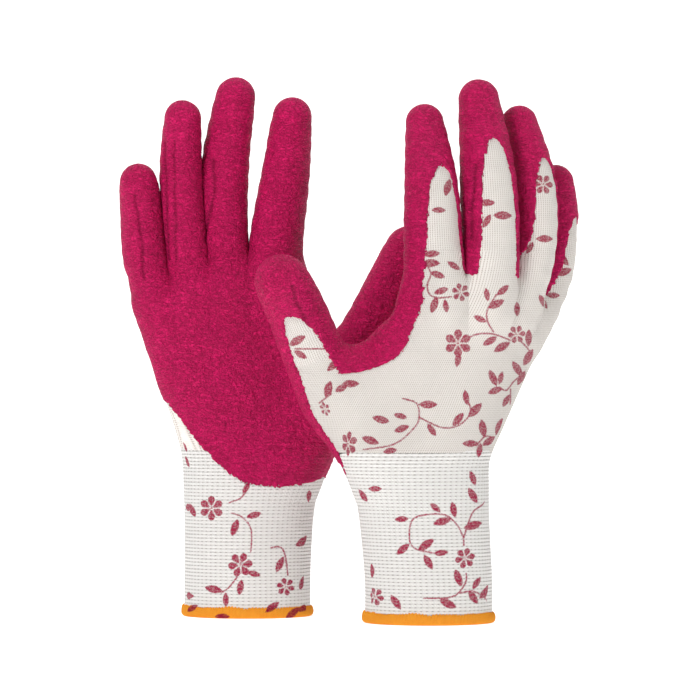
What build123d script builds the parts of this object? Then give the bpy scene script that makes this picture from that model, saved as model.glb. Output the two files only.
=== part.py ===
"""A pair of knitted gardening gloves with dipped latex palms, standing open on their cuffs.

Row frame: +Z up along the hands, +X across the pair, +Y from front to back.
The origin is the bottom centre of the pair's bounding box. Lengths are in millimetres.

Each glove is laid out about the centre of its own cuff opening. The rear glove turns its palm
to the front (-Y) and the front glove turns its back to the front. Both fit a right hand.
A digit is a chain of four stations: knuckle, root, mid and tip. It folds just above its root
and again at mid, so its liner and its coating are each a lower and an upper piece.
"""
from build123d import *
import math
import os

# --- driving dimensions -------------------------------------------------------------------
GLOVE_SPACING = 81.5        # between the two cuff centres, along X
GLOVE_DEPTH_GAP = 40.0      # the front glove's cuff centre stands this much nearer the front
LINER = 1.0                 # wall of the knitted liner
COATING = 0.8               # thickness of the latex coating
BOND_GAP = 0.05             # modelling gap between liner and coating
SIDE_GAP = 0.5              # taken off each digit's radius so that neighbours stay clear
COATED_AROUND = math.radians(48)   # half width of the bare strip on the back of a digit
COATING_WINDOW = 0.45       # share of a digit's upper piece that the bare strip runs into

CUFF_HEIGHT = 68.0          # top of the ribbed cuff
CUFF_HALF_WIDTH = 28.0
CUFF_HALF_DEPTH = 20.0
BINDING_HEIGHT = 5.3        # overlocked orange edge
BINDING_OUT = 1.4           # how far the edge stands out from the cuff
BINDING_IN = 0.8            # how far the edge reaches inside the cuff's wall
CUFF_LIFT = 1.2             # the cuff's cut edge inside the binding
ELASTIC_ROWS = 14
ELASTIC_SIZE = 0.5          # square section of one elastic yarn

ROOT_HINGE = 8.0            # first fold above a digit's root station
FOLD_START = 0.5            # a piece starts this many radii below its fold
FOLD_CLEAR = 1.17           # the piece before it ends this many radii below the fold

PALM_TOP = {"rear": (159.4, 0.115), "front": (154.0, -0.07)}   # height at the cuff's axis, slope along X
HEEL_LINE = {"rear": (66.0, -0.22), "front": (66.0, 0.22)}      # lower edge of the palm's coating

# Sections of each hand from the cuff to the knuckles: height, centre x, centre y,
# half width, half thickness, turn about Z in degrees.
HAND_SECTIONS = {
    "rear": [
        (68.0, 2.8, 0.0, 32.0, 18.6, 0),
        (86.0, 0.6, 0.0, 33.8, 16.4, 0),
        (106.0, -3.6, 0.0, 36.6, 15.0, 0),
        (128.0, -8.5, 0.0, 38.2, 14.0, 0),
        (146.0, -12.4, 0.0, 40.0, 12.8, 0),
        (164.0, -15.2, 0.0, 40.6, 11.4, 0),
    ],
    "front": [
        (68.0, -4.2, 0.0, 30.6, 18.6, 5),
        (86.0, 1.9, 0.5, 31.0, 16.4, 12),
        (106.0, 8.3, 1.5, 35.0, 15.0, 20),
        (128.0, 17.0, 3.0, 38.2, 14.0, 27),
        (146.0, 23.2, 5.0, 40.8, 12.8, 30),
        (160.0, 26.2, 6.5, 41.2, 11.4, 31),
    ],
}

# Stations of each digit (x, y, z, radius): knuckle, root, mid, tip.
DIGITS = {
    "rear": {
        "thumb": [(17.5, -2, 76, 16.0), (47.2, -7, 115.2, 11.8), (62.3, -8, 142.5, 10.9), (72.6, -8, 163.8, 10.2)],
        "index": [(11, 1, 140, 12.5), (12.9, -1, 167, 11.2), (17.4, -4, 199, 9.7), (20.4, -12, 223.6, 7.8)],
        "middle": [(-7, 1, 140, 12.0), (-9.6, -1, 168, 9.3), (-9.8, -5, 202, 9.7), (-4.8, -15, 232.2, 7.9)],
        "ring": [(-23, 1, 136, 11.5), (-26.8, -3, 165, 8.8), (-29.5, -8, 197, 8.6), (-28.2, -18, 222.3, 7.3)],
        "little": [(-37, 1, 126, 10.5), (-45.2, -1, 159, 9.2), (-47.4, -5, 182, 8.5), (-48.3, -11, 194.5, 7.4)],
    },
    "front": {
        "thumb": [(-20, 1, 76, 16.0), (-49, -9, 112.5, 12.7), (-59.4, -21, 138, 11.6), (-64.6, -29, 148.4, 10.8)],
        "index": [(3, -8, 137, 13.0), (1.2, -8, 160, 12.0), (0.0, -5, 192, 10.5), (-2.6, 2, 218.8, 7.4)],
        "middle": [(24, -3, 137, 12.5), (26.0, -2, 160, 11.8), (25.2, 1, 194, 11.3), (21.3, 8, 229.6, 8.0)],
        "ring": [(40, 7, 134, 11.5), (45.2, 10.5, 160, 9.5), (46.2, 13, 190, 9.1), (39.8, 20, 219.7, 7.3)],
        "little": [(46, 16, 124, 10.0), (55.5, 26, 153, 8.2), (58.1, 29, 174, 7.7), (57.0, 33, 194.6, 7.0)],
    },
}
THUMB_KNUCKLE = {"rear": (41.0, -6, 104.6, 13.0), "front": (-41.5, -4, 98, 13.8)}
PALM_FACES = {"rear": (0, -1, 0), "front": (-math.sin(math.radians(20)), math.cos(math.radians(20)), 0)}


def station(values):
    """(point, radius) of one station."""
    return Vector(*values[:3]), values[3]


def along(a, b, distance):
    """The point that lies distance from a towards b."""
    return a + (b - a).normalized() * distance


def turned_profile(a, b, outline):
    """A face in a half plane (radius, height), turned about the line from a to b."""
    solid = revolve(make_face(outline), Axis.Z)
    return Plane(origin=a, z_dir=(b - a).normalized()) * solid


def tapered_tube(a, b, ra, rb, wall):
    """An open tube from a to b, ra and rb being its outer radii."""
    length = (b - a).length
    corners = [(ra - wall, 0, 0), (ra, 0, 0), (rb, 0, length), (rb - wall, 0, length)]
    return turned_profile(a, b, Polyline(*corners, close=True))


def tapered_stall(a, b, ra, rb, wall):
    """A tube from a to b that ends in a round tip."""
    length = (b - a).length
    inner = rb - wall
    half = math.sqrt(0.5)
    outline = (
        Line((ra - wall, 0, 0), (ra, 0, 0))
        + Line((ra, 0, 0), (rb, 0, length))
        + ThreePointArc((rb, 0, length), (rb * half, 0, length + rb * half), (0, 0, length + rb))
        + Line((0, 0, length + rb), (0, 0, length + inner))
        + ThreePointArc((0, 0, length + inner), (inner * half, 0, length + inner * half), (inner, 0, length))
        + Line((inner, 0, length), (ra - wall, 0, 0))
    )
    return turned_profile(a, b, outline)


def fold_points(stations):
    """The two fold points of a digit, with the digit's radius at each."""
    (root, r_root), (mid, r_mid) = station(stations[1]), station(stations[2])
    hinge = along(root, mid, ROOT_HINGE)
    share = ROOT_HINGE / (mid - root).length
    return (hinge, r_root + (r_mid - r_root) * share), (mid, r_mid)


def fold_axis(side, digit, stations):
    """The direction of a digit's fold: a positive turn closes the digit on the palm."""
    root, tip = station(stations[1])[0], station(stations[3])[0]
    palm = Vector(*PALM_FACES[side])
    direction = (tip - root).normalized()
    across = direction.cross(palm).normalized()
    if digit != "thumb":
        return across
    turn = palm if side == "rear" else palm * -1
    inward = turn.cross(direction).normalized()
    return inward.cross(direction).normalized() * -1


def bare_strip(a, b, radius, side, share):
    """A block over the back of a digit, from a to a share of the way to b."""
    length = (b - a).length * share
    palm = Vector(*PALM_FACES[side])
    direction = (b - a).normalized()
    back = (palm * -1 - direction * (palm * -1).dot(direction)).normalized()
    width = 2 * radius * math.sin(COATED_AROUND)
    plane = Plane(origin=a - direction * 0.1, x_dir=direction.cross(back), z_dir=direction)
    block = Box(width, 2 * radius, length + 0.1, align=(Align.CENTER, Align.CENTER, Align.MIN))
    inward = Plane(origin=plane.origin + back * radius, x_dir=plane.x_dir, z_dir=direction)
    return inward * block


def digit_pieces(side, digit):
    """{node name ending: solid} for one digit: the lower and upper liner and coating."""
    stations = DIGITS[side][digit]
    (hinge, r_hinge), (mid, r_mid) = fold_points(stations)
    tip, r_tip = station(stations[3])
    lower_start = along(hinge, mid, -FOLD_START * r_hinge)
    lower_end = along(mid, hinge, FOLD_CLEAR * r_mid)
    upper_start = along(mid, tip, -FOLD_START * r_mid)
    outer = SIDE_GAP
    skin = SIDE_GAP + COATING + BOND_GAP
    pieces = {
        "lower_liner": tapered_tube(lower_start, lower_end, r_hinge - skin, r_mid - skin, LINER),
        "upper_liner": tapered_stall(upper_start, tip, r_mid - skin, r_tip - skin, LINER),
        "lower_coating": tapered_tube(lower_start, lower_end, r_hinge - outer, r_mid - outer, COATING)
        - bare_strip(lower_start, lower_end, r_hinge, side, 1.1),
        "upper_coating": tapered_stall(upper_start, tip, r_mid - outer, r_tip - outer, COATING)
        - bare_strip(upper_start, tip, r_mid, side, COATING_WINDOW),
    }
    return pieces


def hand_body(side, inset):
    """The hand from the cuff to the knuckles as one solid, inset from its outer surface."""
    faces = []
    for z, x, y, half_width, half_depth, turn in HAND_SECTIONS[side]:
        plane = Plane(origin=(x, y, z)).rotated((0, 0, turn))
        faces.append(plane * Ellipse(half_width - inset, half_depth - inset))
    body = loft(faces)
    stations = DIGITS[side]["thumb"]
    (base, r_base), (root, r_root) = station(stations[0]), station(stations[1])
    knuckle, r_knuckle = station(THUMB_KNUCKLE[side])
    hinge, r_hinge = fold_points(stations)[0]
    end = along(hinge, knuckle, FOLD_CLEAR * r_hinge)
    for a, b, ra, rb in ((base, knuckle, r_base, r_knuckle), (knuckle, end, r_knuckle, r_root)):
        cone = turned_profile(a, b, Polyline((0, 0, 0), (ra - inset, 0, 0),
                                             (rb - inset, 0, (b - a).length),
                                             (0, 0, (b - a).length), close=True))
        body += cone
    body += Pos(knuckle) * Sphere(r_knuckle - inset)
    body += Pos(base) * Sphere(r_base - inset)
    return body


def above(height, slope=0.0):
    """A large block that lies above the line z = height + slope * x."""
    block = Box(400, 400, 400, align=(Align.CENTER, Align.CENTER, Align.MIN))
    return Pos(0, 0, height) * Rot(0, -math.degrees(math.atan(slope)), 0) * block


def thumb_mouth(side):
    """A bore that opens the hand towards the thumb's stall."""
    stations = DIGITS[side]["thumb"]
    hinge, r_hinge = fold_points(stations)[0]
    knuckle, r_knuckle = station(THUMB_KNUCKLE[side])
    inner = r_hinge - SIDE_GAP - COATING - BOND_GAP - LINER
    tube = Cylinder(inner, 60, align=(Align.CENTER, Align.CENTER, Align.MIN))
    return Plane(origin=knuckle, z_dir=(hinge - knuckle).normalized()) * tube


def palm_half(side):
    """The side of the hand that the coating covers: the palm and both edges."""
    palm = Vector(*PALM_FACES[side])
    plane = Plane(origin=palm * -3, z_dir=palm)
    return plane * Box(400, 400, 200, align=(Align.CENTER, Align.CENTER, Align.MIN))


def hand_pieces(side):
    """The hand's knitted shell and the coating on its palm."""
    skin = COATING + BOND_GAP
    top = above(*PALM_TOP[side])
    floor = above(CUFF_HEIGHT + 0.1)
    mouth = thumb_mouth(side)
    liner = ((hand_body(side, skin) - hand_body(side, skin + LINER)) - top) & floor
    liner -= mouth
    coating = (hand_body(side, 0) - hand_body(side, COATING)) - top - mouth
    coating = (coating & palm_half(side)) & above(*HEEL_LINE[side]) & floor
    return {"hand_liner": largest(liner), "hand_coating": largest(coating)}


def largest(shape):
    """The largest solid of a shape, without the crumbs a cut leaves."""
    return sorted(shape.solids(), key=lambda s: s.volume)[-1]


def ring(half_width, half_depth, wall, low, high):
    """A straight elliptical ring; half_width and half_depth are its outer sizes."""
    outer = extrude(Ellipse(half_width, half_depth), high - low)
    inner = extrude(Ellipse(half_width - wall, half_depth - wall), high - low)
    return Pos(0, 0, low) * (outer - inner)


def cuff_wall_at(side, z):
    """(centre x, half width, half depth) of the cuff's outer face at a height."""
    _, x, _, half_width, half_depth, _ = HAND_SECTIONS[side][0]
    share = max(0.0, (z - BINDING_HEIGHT) / (CUFF_HEIGHT - BINDING_HEIGHT)) ** 2
    blend = [a + (b - a) * share for a, b in
             ((0, x), (CUFF_HALF_WIDTH, half_width - 0.85), (CUFF_HALF_DEPTH, half_depth - 0.85))]
    return blend


def cuff_solid(side, inset, low):
    """The cuff as a filled solid from low to its top, inset from its outer face."""
    heights = [BINDING_HEIGHT, 30.0, 50.0, CUFF_HEIGHT]
    faces = []
    for z in heights:
        x, half_width, half_depth = cuff_wall_at(side, z)
        faces.append(Pos(x, 0, z) * Ellipse(half_width - inset, half_depth - inset))
    straight = extrude(Ellipse(CUFF_HALF_WIDTH - inset, CUFF_HALF_DEPTH - inset), BINDING_HEIGHT - low)
    return Pos(0, 0, low) * straight + loft(faces)


def cuff_pieces(side):
    """The ribbed cuff, its elastic yarns and its overlocked edge."""
    cuff = cuff_solid(side, 0, CUFF_LIFT) - cuff_solid(side, LINER, CUFF_LIFT)
    yarns = []
    pitch = (CUFF_HEIGHT - 2 * BINDING_HEIGHT) / ELASTIC_ROWS
    for row in range(ELASTIC_ROWS):
        z = 1.6 * BINDING_HEIGHT + row * pitch
        x, half_width, half_depth = cuff_wall_at(side, z)
        inside = LINER + 3 * BOND_GAP
        yarns.append(Pos(x, 0, 0) * ring(half_width - inside, half_depth - inside, ELASTIC_SIZE, z, z + ELASTIC_SIZE))
    out = BINDING_OUT
    wall = BINDING_OUT + LINER + BINDING_IN
    binding = ring(CUFF_HALF_WIDTH + out, CUFF_HALF_DEPTH + out, wall, 0, BINDING_HEIGHT)
    slot = ring(CUFF_HALF_WIDTH + BOND_GAP, CUFF_HALF_DEPTH + BOND_GAP, LINER + 2 * BOND_GAP,
                CUFF_LIFT - BOND_GAP, BINDING_HEIGHT + 1)
    return {"cuff": cuff, "cuff_elastic": Compound(yarns), "edge_binding": binding - slot}


def glove(side):
    """{node name: solid} for one glove, about the centre of its cuff."""
    pieces = dict(hand_pieces(side))
    pieces.update(cuff_pieces(side))
    for digit in DIGITS[side]:
        for ending, solid in digit_pieces(side, digit).items():
            pieces[f"{digit}_{ending}"] = solid
    return {f"{side}_{name}": solid for name, solid in pieces.items()}


def place(side):
    """Where a glove's cuff centre stands before the pair is centred."""
    sign = -1 if side == "rear" else 1
    return Vector(sign * GLOVE_SPACING / 2, -sign * GLOVE_DEPTH_GAP / 2, 0)


def pair():
    """Every node of the pair in the row frame, and the shift that centres the pair."""
    nodes = {}
    for side in ("rear", "front"):
        for name, solid in glove(side).items():
            nodes[name] = Pos(place(side)) * solid
    boxes = [solid.bounding_box() for solid in nodes.values()]
    low = [min(tuple(box.min)[i] for box in boxes) for i in range(3)]
    high = [max(tuple(box.max)[i] for box in boxes) for i in range(3)]
    shift = Vector(-(low[0] + high[0]) / 2, -(low[1] + high[1]) / 2, -low[2])
    return {name: Pos(shift) * solid for name, solid in nodes.items()}, shift


if __name__ == "__main__":
    os.makedirs("parts", exist_ok=True)
    solids, _ = pair()
    for node, shape in solids.items():
        export_step(shape, f"parts/{node}.step")
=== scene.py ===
"""Looks of the pair of gardening gloves: knitted liner, dipped crinkle latex, ribbed cuff, overlocked edge.

Every glove is shaped in its own frame in millimetres, with the centre of its cuff opening at the
origin and +Z along the hand, and is then carried to its place in the CAD frame in metres.
"""
import math

import bpy
import numpy as np
import openvdb
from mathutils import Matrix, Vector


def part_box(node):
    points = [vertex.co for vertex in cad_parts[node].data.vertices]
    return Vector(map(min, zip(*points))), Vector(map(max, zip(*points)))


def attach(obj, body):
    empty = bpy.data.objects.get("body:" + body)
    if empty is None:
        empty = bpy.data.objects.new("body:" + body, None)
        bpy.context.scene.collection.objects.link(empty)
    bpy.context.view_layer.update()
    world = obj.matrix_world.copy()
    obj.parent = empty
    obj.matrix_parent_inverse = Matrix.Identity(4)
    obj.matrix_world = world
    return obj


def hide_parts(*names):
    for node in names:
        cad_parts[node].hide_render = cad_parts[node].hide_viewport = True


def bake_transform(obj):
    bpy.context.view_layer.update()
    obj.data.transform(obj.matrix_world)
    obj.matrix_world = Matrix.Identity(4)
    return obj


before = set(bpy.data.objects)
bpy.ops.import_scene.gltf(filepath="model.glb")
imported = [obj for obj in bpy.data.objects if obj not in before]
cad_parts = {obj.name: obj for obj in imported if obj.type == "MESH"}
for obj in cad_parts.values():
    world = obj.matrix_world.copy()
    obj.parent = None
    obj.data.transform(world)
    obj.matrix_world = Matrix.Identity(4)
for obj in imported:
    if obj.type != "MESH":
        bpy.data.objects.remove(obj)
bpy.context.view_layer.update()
MM = 0.001

# --- sizes of the gloves, in millimetres
CUFF_TOP = 74.5             # the coarse cuff knit ends here
BINDING_HEIGHT = 5.3
BLEND_REACH = 7.0           # the digit's pieces are cut at most this far before each fold
ROOT_HINGE = 8.0            # first fold above a digit's root station
FINGER_GAP = 0.7            # between two fingers that lie side by side
WEB_ROUND = 7.0             # fillet between the hand and a finger
THUMB_ROUND = 12.0          # fillet between the hand and the thumb
COAT = 0.85                 # thickness of the latex coating
WALE = 1.05                 # spacing of the knit's columns
COURSE = 0.95               # spacing of the knit's rows
CUFF_ROW = 1.55             # spacing of the cuff knit's rows
CUFF_COLUMN = 2.1           # spacing of the cuff knit's columns
CUFF_GIRTH = 70 * CUFF_COLUMN
LINER = 1.1                 # thickness of the knit
ELASTIC_ROWS = 14
ELASTIC_START = 8.73        # height of the lowest elastic yarn
ELASTIC_PITCH = 4.1
ELASTIC_RADIUS = 0.28
HAND_ROUND = 16.0           # millimetres of a hand's surface to a radian about its axis
EDGE_RIGHT = 96             # the coating starts this far round from the middle of the back towards +X
EDGE_LEFT = 80              # the same towards -X, both in degrees
HAND_FROM = 52.0            # above this height the cuff follows the surface of the whole hand

DIGIT_NAMES = ("thumb", "index", "middle", "ring", "little")
# 1: the back of the hand is towards -Y and the thumb towards -X. -1: turned about.
TURNED = {"front": 1, "rear": -1}

# Sections from the cuff to the knuckles: height, centre x, centre y, half width, half thickness and
# turn in degrees.
SECTIONS = {
    "rear": [
        (0.0, 0.0, 0.0, 28.4, 20.0, 0), (32.0, 0.1, 0.0, 28.6, 19.6, 0), (50.0, 0.9, 0.0, 29.5, 19.0, 0),
        (60.0, 2.0, 0.0, 30.8, 18.6, 0), (70.0, 2.8, 0.0, 32.0, 17.9, 0), (86.0, 0.6, 0.0, 33.8, 16.4, 0),
        (106.0, -3.6, 0.0, 36.6, 15.0, 0), (128.0, -8.5, 0.0, 38.2, 14.0, 0),
        (146.0, -12.4, 0.0, 40.0, 12.8, 0), (166.0, -15.4, 0.0, 40.6, 11.2, 0),
    ],
    "front": [
        (0.0, -0.9, 0.0, 27.9, 20.0, 0), (14.0, -0.9, 0.0, 27.9, 19.8, 0), (34.0, -2.2, 0.0, 28.2, 19.5, 0),
        (50.0, -3.4, 0.0, 28.8, 19.0, 1), (60.0, -4.3, 0.0, 29.8, 18.6, 3), (70.0, -4.6, 0.0, 30.6, 17.9, 6),
        (86.0, 1.9, 0.5, 31.0, 16.4, 12), (106.0, 8.3, 1.5, 35.0, 15.0, 20),
        (128.0, 17.0, 3.0, 38.2, 14.0, 27), (146.0, 23.2, 5.0, 40.8, 12.8, 30),
        (166.0, 27.0, 7.0, 41.2, 11.2, 31),
    ],
}
# Top of the hand between the fingers: (x, z) pairs.
HAND_TOP = {
    "rear": [(-50, 143), (-34, 148), (-18, 155), (2, 158), (26, 157)],
    "front": [(-12, 150), (0, 151), (15, 149), (37, 148), (49, 141), (62, 134)],
}
# Stations of each digit (x, y, z, radius): base, root, mid and tip. A thumb has one more below its root.
DIGITS = {
    "rear": {
        "thumb": [(17.5, -1, 72, 15.0), (41.0, -6, 104.6, 13.0), (47.2, -7, 115.2, 11.8),
                  (62.3, -8, 142.5, 10.9), (72.6, -8, 163.8, 10.2)],
        "index": [(11, 1, 140, 12.5), (12.9, -1, 167, 11.2), (17.4, -4, 199, 9.7), (20.4, -12, 223.6, 7.8)],
        "middle": [(-7, 1, 140, 12.0), (-9.6, -1, 168, 9.3), (-9.8, -5, 202, 9.7), (-4.8, -15, 232.2, 7.9)],
        "ring": [(-23, 1, 136, 11.5), (-26.8, -3, 165, 8.8), (-29.5, -8, 197, 8.6), (-28.2, -18, 222.3, 7.3)],
        "little": [(-34, 1, 127, 8.5), (-45.2, -1, 159, 9.2), (-47.4, -5, 182, 8.5),
                   (-48.3, -11, 194.5, 7.4)],
    },
    "front": {
        "thumb": [(-19, 1, 72, 15.5), (-41.5, -4, 98, 13.8), (-49, -9, 112.5, 12.7),
                  (-59.4, -21, 138, 11.6), (-64.6, -29, 148.4, 10.8)],
        "index": [(3, -8, 137, 13.0), (1.2, -8, 160, 12.0), (0.0, -5, 192, 10.5), (-2.6, 2, 218.8, 7.4)],
        "middle": [(24, -3, 137, 12.5), (26.0, -2, 160, 11.8), (25.2, 1, 194, 11.3), (21.3, 8, 229.6, 8.0)],
        "ring": [(35, 6, 134, 11.0), (45.2, 10.5, 160, 9.5), (46.2, 13, 190, 9.1), (39.8, 20, 219.7, 7.3)],
        "little": [(41, 13, 126, 8.5), (55.5, 26, 153, 8.2), (58.1, 29, 174, 7.7), (57.0, 33, 194.6, 7.0)],
    },
}
# A box round each hand without its digits: low and high corner.
HAND_BOX = {
    "rear": ((-60, -34, 57), (66, 44, 184)),
    "front": ((-66, -34, 57), (72, 44, 184)),
}
# The flesh between thumb and index finger: two stations.
WEB = {
    "rear": [(38, -5, 100, 12.0), (22, -2, 120, 9.0)],
    "front": [(-38, -5, 100, 12.0), (-17, -6, 119, 9.5)],
}
# Direction that the back of the hand and of each digit faces, in degrees from -Y towards +X.
BACK_TURN = {
    "rear": dict.fromkeys(DIGIT_NAMES, 180),
    "front": {"thumb": -3, "index": 28, "middle": 22, "ring": 43, "little": 72},
}
# The bare knit on the back of a digit: height of its top, half angle in degrees, and how much wider
# it is at the root.
BARE = {
    "rear": {"thumb": (139, 42, 0), "index": (201, 43, 8), "middle": (209, 43, 6), "ring": (201, 45, 20),
             "little": (180, 44, 14)},
    "front": {"thumb": (133.5, 36, 0), "index": (199, 41, 6), "middle": (211.5, 42, 4), "ring": (204, 49, 30),
              "little": (179, 50, 6)},
}
# Edge of the coating beside the thumb, on the back of the hand: x at each height, with the thumb at -x.
WEB_HEIGHTS = [60, 100, 107, 110, 113.5, 119.5, 126, 137.5, 154.5, 170]
WEB_EDGE = {
    "rear": [-70, -46, -36, -29, -25, -22, -20, -18, -17, -16],
    "front": [-80, -58, -44, -29, -19.5, -12, -9.5, -4.5, -3.5, -3],
}
# Lower edge of the coating over the heel of the palm: (x, z) on the rear glove. The front glove mirrors it.
HEEL_LINE = [(-40, 101), (-34.5, 94.5), (-26.5, 84.5), (-21, 77.5), (-15, 71.5), (-9.5, 66), (-3, 61.5),
             (7, 59), (13.5, 58.5), (25.5, 59.5), (30.5, 60.5), (35.5, 63.5), (39.5, 70)]


# --- small vector helpers
def unit(v):
    v = np.asarray(v, float)
    return v / np.maximum(np.linalg.norm(v, axis=-1, keepdims=True), 1e-9)


def smin(a, b, k):
    """The smaller of two distances, rounded over k."""
    h = np.clip(0.5 + 0.5 * (b - a) / k, 0, 1)
    return b + (a - b) * h - k * h * (1 - h)


def smax(a, b, k):
    return -smin(-a, -b, k)


def step(x, low, high):
    """0 below low, 1 above high, smooth between."""
    t = np.clip((x - low) / (high - low), 0, 1)
    return t * t * (3 - 2 * t)


def hermite(x, xs, ys):
    """A smooth curve through the points (xs, ys), which stays level beyond them."""
    xs = np.asarray(xs, float)
    ys = np.asarray(ys, float)
    slope = np.gradient(ys, xs)
    x = np.clip(x, xs[0], xs[-1])
    i = np.clip(np.searchsorted(xs, x) - 1, 0, len(xs) - 2)
    h = xs[i + 1] - xs[i]
    t = (x - xs[i]) / h
    t2, t3 = t * t, t * t * t
    return ((2 * t3 - 3 * t2 + 1) * ys[i] + (t3 - 2 * t2 + t) * h * slope[i]
            + (3 * t2 - 2 * t3) * ys[i + 1] + (t3 - t2) * h * slope[i + 1])


def lattice(ix, iy, iz):
    """A repeatable random number from 0 to 1 for each lattice point."""
    n = (ix.astype(np.int64) * 73856093) ^ (iy.astype(np.int64) * 19349663) ^ (iz.astype(np.int64) * 83492791)
    n = (n ^ (n >> 13)) * 1274126177
    return ((n ^ (n >> 16)) & 0xFFFF) / 65535.0


def noise(P, size):
    """Smooth noise from -1 to 1 at points P, with features of about the given size."""
    q = P / size
    f = np.floor(q)
    t = q - f
    t = t * t * (3 - 2 * t)
    total = 0
    for corner in np.ndindex(2, 2, 2):
        wx, wy, wz = (t[:, i] if near else 1 - t[:, i] for i, near in enumerate(corner))
        total = total + wx * wy * wz * lattice(*(f + corner).T)
    return 2 * total - 1


# --- the shape of a hand
def section_at(side, z):
    """(x, y, half width, half thickness, turn in radians) of the hand's section at each height."""
    table = np.array(SECTIONS[side], float)
    values = [hermite(z, table[:, 0], table[:, i]) for i in range(1, 6)]
    values[4] = np.radians(values[4])
    return values


def hand_local(side, P):
    """Position in the hand's section: across u, through v (negative towards -Y), half sizes a and b."""
    x, y, a, b, turn = section_at(side, P[:, 2])
    dx, dy = P[:, 0] - x, P[:, 1] - y
    u = dx * np.cos(turn) + dy * np.sin(turn)
    v = -dx * np.sin(turn) + dy * np.cos(turn)
    return u, v, a, b


def hand_distance(side, P):
    """Distance to the hand without its digits."""
    u, v, a, b = hand_local(side, P)
    k0 = np.sqrt((u / a) ** 2 + (v / b) ** 2)
    k1 = np.sqrt((u / a ** 2) ** 2 + (v / b ** 2) ** 2)
    d = np.where(k0 < 1e-3, -b, k0 * (k0 - 1) / np.maximum(k1, 1e-6))
    top = np.array(HAND_TOP[side], float)
    d = smax(d, P[:, 2] - hermite(P[:, 0], top[:, 0], top[:, 1]), 9.0)
    p, q = WEB[side]
    return smin(d, cone(P, p, q), 12.0)


def nearest(P, p, q):
    """How far from p to q the nearest place to each point is, 0 to 1, and the distance to that place."""
    d = q - p
    t = np.clip((P - p) @ d / (d @ d), 0, 1)
    return t, np.linalg.norm(P - (p + t[:, None] * d), axis=1)


def cone(P, p, q):
    """Distance to a round-ended cone between two stations."""
    p, q = np.array(p, float), np.array(q, float)
    t, dist = nearest(P, p[:3], q[:3])
    return dist - (p[3] + t * (q[3] - p[3]))


def centreline(side, digit, per_span=4):
    """The digit's stations, resampled along a smooth curve."""
    s = np.array(DIGITS[side][digit], float)
    t = np.concatenate([[0], np.cumsum(np.linalg.norm(np.diff(s[:, :3], axis=0), axis=1))])
    spans = [np.linspace(t[i], t[i + 1], per_span, endpoint=False) for i in range(len(t) - 1)]
    fine = np.concatenate(spans + [[t[-1]]])
    return np.stack([hermite(fine, t, s[:, i]) for i in range(4)], axis=1)


LINES = {side: {d: centreline(side, d) for d in DIGIT_NAMES} for side in DIGITS}


def digit_distance(side, digit, P):
    """Distance to a digit. Far from it one long cone is near enough."""
    line = LINES[side][digit]
    rough = cone(P, line[0], line[-1]) - 2.0
    near = rough < 12
    Q = P[near]
    d = cone(Q, line[0], line[1])
    for p, q in zip(line[1:-1], line[2:]):
        d = smin(d, cone(Q, p, q), 1.2)
    rough[near] = d
    return rough


def digit_distances(side, P):
    return np.stack([digit_distance(side, d, P) for d in DIGIT_NAMES])


def digit_field(side, digit, P, raw=None):
    """The hand with one digit, which keeps FINGER_GAP clear of the digits beside it."""
    raw = digit_distances(side, P) if raw is None else raw
    i = DIGIT_NAMES.index(digit)
    own = raw[i]
    others = np.min(np.delete(raw, i, axis=0), axis=0)
    own = smax(own, (own - others) / 2 + FINGER_GAP / 2, 1.0)
    return smin(hand_distance(side, P), own, THUMB_ROUND if digit == "thumb" else WEB_ROUND)


def glove_field(side, P):
    raw = digit_distances(side, P)
    return np.min([digit_field(side, d, P, raw) for d in DIGIT_NAMES], axis=0)


def gradient(field, P, h=0.05):
    """Slope of a field, from its values at the corners of a small tetrahedron."""
    g = np.zeros_like(P)
    for corner in ((1, -1, -1), (-1, -1, 1), (-1, 1, -1), (1, 1, 1)):
        corner = np.array(corner, float)
        g += field(P + corner * h)[:, None] * corner / (4 * h)
    return g


# --- folds
def folds(side, digit):
    """Hinge, mid point, both pieces' directions, reach of a bend, and the digit's start from its hinge."""
    s = np.array(DIGITS[side][digit], float)
    root, mid, tip = s[-3, :3], s[-2, :3], s[-1, :3]
    hinge = root + unit(mid - root) * ROOT_HINGE
    reach = min(BLEND_REACH, 0.46 * np.linalg.norm(mid - hinge))
    low_start = -1.0 if digit == "thumb" else -reach
    return hinge, mid, unit(mid - hinge), unit(tip - hinge), reach, low_start


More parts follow.
